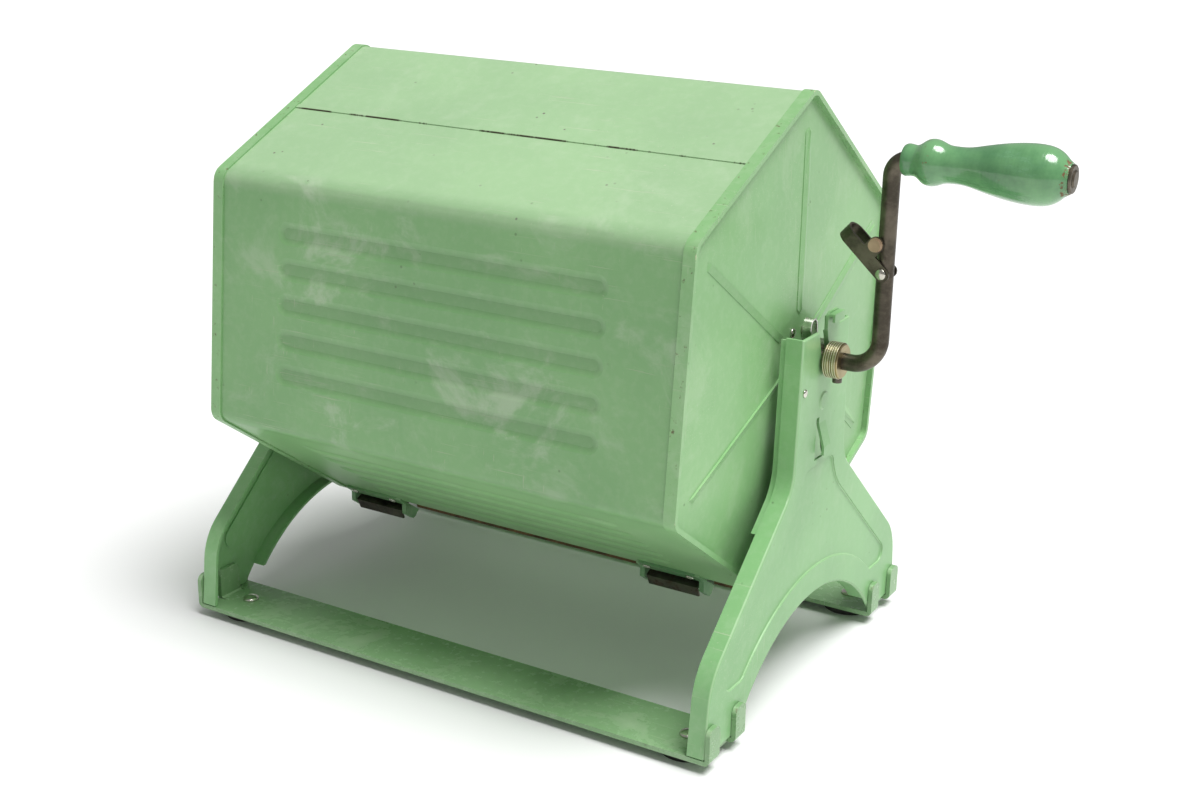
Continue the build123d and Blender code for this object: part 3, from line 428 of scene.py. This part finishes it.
def grip_paint(sizes):
    """Glossy green paint on a turned handle, worn to the wood at its beads and end."""
    material, kit = new_material("grip_paint")
    place = kit.place()
    axis_z = JOINTS["grip_spin"]["pos_m"][2]
    low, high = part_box("grip")
    x, y, z = kit.split(kit.mapped(place, shift=(-low.x, 0, -axis_z)))
    radius = (y * y + z * z) ** 0.5
    cloud = kit.noise(place, 26, 4, 0.6)
    colour = kit.mix(cloud.ramp(0.35, 0.7), sizes.grip_light, sizes.grip_dark)
    rubbed = kit.noise(kit.mapped(place, (22, 60, 60)), 1.0, 5, 0.62)
    palm = radius.ramp(0.0165, 0.0198)
    dull = (rubbed.ramp(0.5, 0.66) * (palm * 0.55 + 0.18)).clamped()
    colour = kit.mix(dull, colour, tone("6FA37A"))
    bead = abs(x - 0.0185).ramp(0.0015, 0.006, 1.0, 0.0)
    end = x.ramp(high.x - low.x - 0.0075, high.x - low.x - 0.002)
    mouth = x.ramp(0.0, 0.0035, 1.0, 0.0)
    ragged = kit.noise(place, 210, 4, 0.7)
    flakes = kit.cells(place, 120)
    chip = ((bead * 0.5 + end * 0.62 + mouth * 0.5 + palm * 0.16) + (ragged - 0.5) * 1.2).ramp(0.62, 0.7)
    chip = (chip + (1 - flakes.ramp(0.04, 0.12)) * kit.noise(place, 45).ramp(0.55, 0.66) * 0.9).clamped()
    wood = kit.mix(kit.noise(kit.mapped(place, (12, 300, 300)), 1.0, 3), tone("8C6A42"), tone("4B3522"))
    colour = kit.mix(chip, colour, wood)
    rings = (x * 2600).math("SINE") * 0.06
    rough = (0.2 + dull * 0.25 + chip * 0.45).clamped()
    coat = (0.55 - chip * 0.55).clamped()
    normal = kit.bump(rings + cloud * 0.35 - chip * 0.6 + ragged * 0.08, 0.0004, 0.7)
    kit.surface(Base_Color=colour, Roughness=rough, Coat_Weight=coat, Normal=normal)
    return material


def paint_nodes(material, *nodes):
    for name in nodes:
        slots = frame["nodes"][name].material_slots
        if not slots:
            frame["nodes"][name].data.materials.append(material)
        for one in slots:
            one.material = material


# ---- repeated pieces from Geometry Nodes ----
def geometry_tree(name, sizes):
    """A Geometry Nodes tree with named inputs; sizes maps each name to its default."""
    tree = bpy.data.node_groups.new(name, "GeometryNodeTree")
    tree.is_modifier = True
    tree.interface.new_socket(name="Geometry", in_out="INPUT", socket_type="NodeSocketGeometry")
    tree.interface.new_socket(name="Geometry", in_out="OUTPUT", socket_type="NodeSocketGeometry")
    kinds = {float: "NodeSocketFloat", int: "NodeSocketInt"}
    for key, default in sizes.items():
        made = tree.interface.new_socket(name=key, in_out="INPUT", socket_type=kinds[type(default)])
        made.default_value = default
    kit = Kit(tree)
    start = kit.node("NodeGroupInput")
    inputs = {out.name: Value(kit, out) for out in start.socket.node.outputs if out.name}
    return tree, kit, inputs


def finish_tree(kit, geometry, material):
    real = kit.node("GeometryNodeRealizeInstances", values={0: geometry})
    smoothed = kit.node("GeometryNodeSetShadeSmooth", values={"Geometry": real, "Shade Smooth": True})
    painted = kit.node("GeometryNodeSetMaterial", values={"Geometry": smoothed, "Material": material})
    kit.node("NodeGroupOutput", values={0: painted})


def bake_tree(tree, name, mesh, values):
    """Runs a tree on a mesh and returns the result as a plain object with no modifier."""
    source = bpy.data.objects.new(name + "_source", mesh)
    bpy.context.scene.collection.objects.link(source)
    modifier = source.modifiers.new(name, "NODES")
    modifier.node_group = tree
    for socket in tree.interface.items_tree:
        if socket.item_type == "SOCKET" and socket.in_out == "INPUT" and socket.name in values:
            modifier[socket.identifier] = values[socket.name]
    bpy.context.view_layer.update()
    shape = source.evaluated_get(bpy.context.evaluated_depsgraph_get())
    made = bpy.data.meshes.new_from_object(shape)
    made.name = name
    bpy.data.objects.remove(source)
    piece = bpy.data.objects.new(name, made)
    bpy.context.scene.collection.objects.link(piece)
    return piece


def rivet_tree(material):
    """Domed rivet heads on points; each point's facing attribute turns its head outwards."""
    tree, kit, size = geometry_tree("rivet_heads", {"Radius": 0.004, "Height": 0.0015, "Rim": 0.0003})
    dome = kit.node("GeometryNodeMeshUVSphere", values={"Segments": 28, "Rings": 18, "Radius": 1.0})
    spot = kit.node("GeometryNodeInputPosition")
    px, py, pz = kit.split(spot)
    level = pz.most(0.0)
    profile = (level ** 0.85) * size["Height"] + level.ramp(0.0, 0.12) * size["Rim"]
    spread = {0: px * size["Radius"], 1: py * size["Radius"], 2: profile}
    point = kit.node("ShaderNodeCombineXYZ", values=spread)
    shaped = kit.node("GeometryNodeSetPosition", values={"Geometry": dome, "Position": point})
    facing = kit.node("GeometryNodeInputNamedAttribute", {"data_type": "FLOAT_VECTOR"}, {"Name": "facing"})
    turned = kit.node("FunctionNodeAlignRotationToVector", {"axis": "Z"}, {"Vector": facing})
    heads = kit.node(
        "GeometryNodeInstanceOnPoints",
        values={"Points": size["Geometry"], "Instance": shaped, "Rotation": turned},
    )
    finish_tree(kit, heads, material)
    return tree


def point_mesh(name, points, facings):
    mesh = bpy.data.meshes.new(name)
    mesh.from_pydata([tuple(p) for p in points], [], [])
    attribute = mesh.attributes.new("facing", "FLOAT_VECTOR", "POINT")
    for entry, facing in zip(attribute.data, facings):
        entry.vector = facing
    return mesh


def rivet_rows():
    """Each group of like rivets: its name, the node it stands for, body, head radius, head height, and spots.

    A spot is a point with the direction its head faces.
    """
    low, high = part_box("foot_rivets")
    upright = Vector((0, 0, 1))
    bar_top = high.z - 0.002
    corners = [(sx, sy) for sx in (1, -1) for sy in (1, -1)]
    feet = [(Vector((SHAFT.x + sx * FOOT_X, sy * FOOT_Y, bar_top)), upright) for sx, sy in corners]
    webs = []
    hubs = []
    for side in (1, -1):
        out = Vector((side, 0, 0))
        for y in FRAME_RIVETS:
            webs.append((SHAFT + Vector((side * FRAME_FACE, y, FRAME_RIVET_Z)), out))
        for number in range(6):
            turn = DRUM_TURN + number * pi / 3
            spot = Vector((side * HUB_FACE, HUB_RING * cos(turn), HUB_RING * sin(turn)))
            hubs.append((SHAFT + spot, out))
    down = panel_frame(2)[0]
    lid_out = panel_frame(3)[0]
    loops = [(on_panel(2, x, -0.0820, 0.002), down) for x in LOOP_RIVETS]
    lugs = [(on_panel(3, x, 0.060, LID_TOP + LUG_SHEET), lid_out) for x in LUG_RIVETS]
    pins = [(on_panel(3, x, -0.079, LID_TOP + 0.0028), lid_out) for x in CATCHES]
    latch = [(ARM + Vector((0, way * LATCH_HALF, 0)), Vector((0, way, 0))) for way in (1, -1)]
    return (
        ("foot_rivet_heads", "foot_rivets", "stand", 0.0063, 0.0024, feet),
        ("bracket_rivet_heads", "bracket_rivets", "stand", 0.0029, 0.0012, webs),
        ("hub_rivet_heads", "hub_rivets", "drum", 0.0036, 0.0016, hubs),
        ("loop_rivet_heads", "loop_rivets", "drum", 0.0032, 0.0014, loops),
        ("lug_rivet_heads", "lug_rivets", "lid", 0.0034, 0.0015, lugs),
        ("catch_pin_heads", "catch_pins", "drum", 0.0038, 0.0016, pins),
        ("latch_rivet_heads", "latch_pivot_rivet", "drum", 0.0038, 0.0016, latch),
    )


def ring_tree(material):
    """Fine turned rings round a collar: a row of thin hoops along +X."""
    sizes = {"Radius": 0.0128, "Bead": 0.0003, "Pitch": 0.0017, "Count": 6}
    tree, kit, size = geometry_tree("collar_rings", sizes)
    step = kit.node("ShaderNodeCombineXYZ", values={0: size["Pitch"]})
    row = kit.node("GeometryNodeMeshLine", {"mode": "OFFSET"}, {"Count": size["Count"], "Offset": step})
    circle = ("GeometryNodeCurvePrimitiveCircle", {"mode": "RADIUS"})
    hoop = kit.node(*circle, {"Resolution": 64, "Radius": size["Radius"]})
    wire = kit.node(*circle, {"Resolution": 8, "Radius": size["Bead"]})
    tube = kit.node("GeometryNodeCurveToMesh", values={0: hoop, 1: wire})
    upright = kit.node("GeometryNodeTransform", values={"Geometry": tube, "Rotation": (0, pi / 2, 0)})
    hoops = kit.node("GeometryNodeInstanceOnPoints", values={"Points": row, "Instance": upright})
    finish_tree(kit, hoops, material)
    return tree


# ---- sizes and colours a user may change ----
def colour_property(name, description, default):
    return bpy.props.FloatVectorProperty(
        name=name, description=description, subtype="COLOR", size=4, min=0, max=1, default=default
    )


class WasherSizes(bpy.types.PropertyGroup):
    drum_paint: colour_property("Drum paint", "Main colour of the drum's enamel", tone("8BBA7F"))
    drum_shade: colour_property("Drum shade", "Darker clouds in the drum's enamel", tone("80AF76"))
    frame_paint: colour_property("Frame paint", "Main colour of the end frames", tone("8CBE82"))
    frame_shade: colour_property("Frame shade", "Darker clouds on the end frames", tone("80B178"))
    bar_paint: colour_property("Bar paint", "Main colour of the base bars", tone("8CB283"))
    bar_shade: colour_property("Bar shade", "Darker clouds on the base bars", tone("7BA272"))
    grip_light: colour_property("Grip light", "Lighter tone of the grip's paint", tone("6FA56F"))
    grip_dark: colour_property("Grip dark", "Darker tone of the grip's paint", tone("4F8456"))
    ring_count: bpy.props.IntProperty(
        name="Collar rings", description="Turned rings on each collar", default=6, min=1, max=20
    )
    ring_pitch: bpy.props.FloatProperty(
        name="Ring pitch", description="Distance between turned rings", default=0.0017, unit="LENGTH"
    )
    lens: bpy.props.FloatProperty(
        name="Lens", description="Focal length of the camera", default=52.33, unit="CAMERA"
    )
    azimuth: bpy.props.FloatProperty(
        name="Azimuth",
        description="Camera direction round the machine",
        default=radians(30.98),
        unit="ROTATION",
    )
    elevation: bpy.props.FloatProperty(
        name="Elevation", description="Camera height above level", default=radians(18.64), unit="ROTATION"
    )
    roll: bpy.props.FloatProperty(
        name="Roll", description="Camera roll", default=radians(0.94), unit="ROTATION"
    )
    distance: bpy.props.FloatProperty(
        name="Distance", description="Camera to its target", default=1.3335, unit="LENGTH"
    )
    key_power: bpy.props.FloatProperty(name="Key light", description="Strength of the soft sun", default=3.8)
    sky: bpy.props.FloatProperty(name="Sky", description="Strength of the even light all round", default=0.31)


class WASHER_OT_drum(bpy.types.Operator):
    """Paint the drum, its end plates, lid and loops"""

    bl_idname = "washer.drum"
    bl_label = "Drum and lid"

    def execute(self, context):
        sizes = context.scene.washer_sizes
        paint_nodes(drum_enamel(sizes), "drum_shell")
        # the loops' darker green is partly their own paint and partly painted shade for the shadow they sit
        # in
        loops = sheet_enamel("loop_enamel", sizes.bar_shade, sizes.grip_dark, 0, 0.3, 0.4, 0.2, 0.6, 0.4)
        paint_nodes(loops, "lid_loops")
        paint_nodes(plate_enamel(sizes), "crank_side_end_plate", "far_side_end_plate")
        lid = sheet_enamel("lid_enamel", sizes.drum_paint, sizes.drum_shade, 0, 0.5, 0.4, 0.5, 0.6, 0.38)
        paint_nodes(lid, "lid")
        gasket = soft_material("gasket_rubber", tone("8A5A38"), tone("4B2E1C"), 0.75, 260, 0.0003)
        paint_nodes(gasket, "lid_gasket")
        return {"FINISHED"}


class WASHER_OT_stand(bpy.types.Operator):
    """Paint the end frames, brackets and base bars, and finish the feet"""

    bl_idname = "washer.stand"
    bl_label = "Stand"

    def execute(self, context):
        sizes = context.scene.washer_sizes
        paints = (sizes.frame_paint, sizes.frame_shade)
        frames = sheet_enamel("frame_enamel", *paints, 0, 0.3, 0.4, 0.3, 0.45, 0.32)
        paint_nodes(frames, "crank_side_frame", "far_side_frame")
        brackets = sheet_enamel("bracket_enamel", *paints, 0, 0.3, 0.3, 0.3, 0.3, 0.4)
        paint_nodes(brackets, "crank_side_bearing_bracket", "far_side_bearing_bracket")
        bars = sheet_enamel("bar_enamel", sizes.bar_paint, sizes.bar_shade, 2, 0.45, 0.6, 0.35, 0.5, 0.26)
        paint_nodes(bars, "front_base_bar", "rear_base_bar")
        feet = soft_material("foot_rubber", tone("3A3936"), tone("1D1D1C"), 0.62, 420, 0.0002)
        paint_nodes(feet, "rubber_feet")
        return {"FINISHED"}


class WASHER_OT_metal(bpy.types.Operator):
    """Finish the rod, latch, collars, clips, lugs and catches"""

    bl_idname = "washer.metal"
    bl_label = "Bare metal"

    def execute(self, context):
        worn = steel("worn_steel", tone("6E675A"), tone("4A453C"), tone("3E3124"), 0.4)
        paint_nodes(worn, "crank_rod", "far_axle", "crank_latch", "grip_washer")
        paint_nodes(worn, "crank_side_hub_flange", "far_side_hub_flange")
        dark = steel("dark_steel", tone("6F6A60"), tone("3F3B36"), tone("4A3322"), 0.45, (400, 400, 30), 0.7)
        paint_nodes(dark, "lid_lugs", "crank_side_lid_catch", "far_side_lid_catch", "collar_set_screws")
        browns = (tone("7A5A3E"), tone("4B3524"), tone("2E2118"))
        rusted = steel("rusted_strip", *browns, 0.6, (60, 300, 300), 0.8, 0.5)
        paint_nodes(rusted, "lid_edge_strip")
        turned = turned_steel("turned_steel", tone("BDB189"), tone("7C7048"))
        paint_nodes(turned, "crank_side_collar", "far_side_collar")
        greys = (tone("D9D8D2"), tone("A6A59E"), tone("8C8068"))
        bright = steel("clip_steel", *greys, 0.24, (30, 400, 400), 0.25, 1.0)
        paint_nodes(bright, "crank_side_bearing_clip", "far_side_bearing_clip")
        return {"FINISHED"}


class WASHER_OT_rivets(bpy.types.Operator):
    """Make every domed rivet head"""

    bl_idname = "washer.rivets"
    bl_label = "Rivet heads"

    def execute(self, context):
        greys = (tone("DEDCD2"), tone("B3B0A2"), tone("7A6A50"))
        material = steel("rivet_steel", *greys, 0.22, (60, 60, 60), 0.35, 1.0)
        tree = rivet_tree(material)
        for name, node, body, radius, height, spots in rivet_rows():
            mesh = point_mesh(name, [p for p, f in spots], [f for p, f in spots])
            values = {"Radius": radius, "Height": height, "Rim": height * 0.3}
            heads = bake_tree(tree, name, mesh, values)
            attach(heads, body)
            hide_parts(node)
        return {"FINISHED"}


class WASHER_OT_rings(bpy.types.Operator):
    """Make the fine turned rings of both collars"""

    bl_idname = "washer.rings"
    bl_label = "Collar rings"

    def execute(self, context):
        sizes = context.scene.washer_sizes
        tree = ring_tree(bpy.data.materials["turned_steel"])
        for side in ("crank_side", "far_side"):
            low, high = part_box(side + "_collar")
            span = sizes.ring_pitch * (sizes.ring_count - 1)
            start = Vector(((low.x + high.x) / 2 - span / 2, 0, SHAFT.z))
            values = {"Count": sizes.ring_count, "Pitch": sizes.ring_pitch, "Radius": COLLAR_R - 0.0001}
            values["Bead"] = 0.0003
            rings = bake_tree(tree, side + "_collar_rings", bpy.data.meshes.new(side), values)
            rings.data.transform(Matrix.Translation(start))
            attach(rings, "drum")
        return {"FINISHED"}


class WASHER_OT_grip(bpy.types.Operator):
    """Finish the turned grip and the latch's button"""

    bl_idname = "washer.grip"
    bl_label = "Grip"

    def execute(self, context):
        paint_nodes(grip_paint(context.scene.washer_sizes), "grip")
        button = soft_material("button_fibre", tone("B49A7C"), tone("8B6F55"), 0.42, 300, 0.0001)
        paint_nodes(button, "latch_button")
        return {"FINISHED"}


def soft_sun(name, source, power):
    """A sun wide enough to cast only soft shadows, shining from the source direction."""
    light = bpy.data.lights.new(name, "SUN")
    light.energy = power
    light.angle = radians(35)
    holder = bpy.data.objects.new(name, light)
    bpy.context.scene.collection.objects.link(holder)
    holder.rotation_euler = Vector(source).to_track_quat("Z", "Y").to_euler()


class WASHER_OT_stage(bpy.types.Operator):
    """Make the floor, the backdrop, the studio lights and the camera"""

    bl_idname = "washer.stage"
    bl_label = "Stage"

    def execute(self, context):
        scene = context.scene
        sizes = scene.washer_sizes
        material, kit = new_material("studio_floor")
        cloud = kit.noise(kit.place(), 3.0, 2)
        colour = kit.mix(cloud, tone("ECECEC"), tone("F0F0F0"))
        kit.surface(Base_Color=colour, Roughness=0.7)
        mesh = bpy.data.meshes.new("studio_floor")
        span = 6.0
        corners = [(-span, -span, 0), (span, -span, 0), (span, span, 0), (-span, span, 0)]
        mesh.from_pydata(corners, [], [(0, 1, 2, 3)])
        mesh.materials.append(material)
        floor = bpy.data.objects.new("studio_floor", mesh)
        scene.collection.objects.link(floor)
        world = bpy.data.worlds.new("studio")
        scene.world = world
        world.use_nodes = True
        world.node_tree.nodes["Background"].inputs["Color"].default_value = (1.0, 1.0, 1.0, 1.0)
        world.node_tree.nodes["Background"].inputs["Strength"].default_value = sizes.sky
        soft_sun("key", KEY_FROM, sizes.key_power)
        scene.view_settings.view_transform = "Standard"
        target = SHAFT + Vector((0.0413, 0, -0.0656))
        az, el, roll = sizes.azimuth, sizes.elevation, sizes.roll
        back = Vector((sin(az) * cos(el), -cos(az) * cos(el), sin(el)))
        right = Vector((0, 0, 1)).cross(back).normalized()
        up = back.cross(right)
        right, up = right * cos(roll) + up * sin(roll), up * cos(roll) - right * sin(roll)
        camera = bpy.data.cameras.new("camera")
        camera.lens = sizes.lens
        camera.sensor_width = 36
        camera.clip_end = 50
        holder = bpy.data.objects.new("camera", camera)
        scene.collection.objects.link(holder)
        facing = Matrix((right, up, back)).transposed().to_4x4()
        holder.matrix_world = Matrix.Translation(target + back * sizes.distance) @ facing
        scene.camera = holder
        return {"FINISHED"}


STEPS = (
    WASHER_OT_drum,
    WASHER_OT_stand,
    WASHER_OT_metal,
    WASHER_OT_rivets,
    WASHER_OT_rings,
    WASHER_OT_grip,
    WASHER_OT_stage,
)


class WASHER_PT_panel(bpy.types.Panel):
    """Lists the steps that finish the machine"""

    bl_idname = "WASHER_PT_panel"
    bl_label = "Drum Washer"
    bl_space_type = "VIEW_3D"
    bl_region_type = "UI"
    bl_category = "Washer"

    def draw(self, context):
        for step in STEPS:
            self.layout.operator(step.bl_idname)


CLASSES = (WasherSizes,) + STEPS + (WASHER_PT_panel,)


def register():
    for one in CLASSES:
        bpy.utils.register_class(one)
    bpy.types.Scene.washer_sizes = bpy.props.PointerProperty(type=WasherSizes)


def unregister():
    del bpy.types.Scene.washer_sizes
    for one in reversed(CLASSES):
        bpy.utils.unregister_class(one)


def main():
    register()
    for step in STEPS:
        group, name = step.bl_idname.split(".")
        getattr(getattr(bpy.ops, group), name)()


if __name__ == "__main__":
    main()
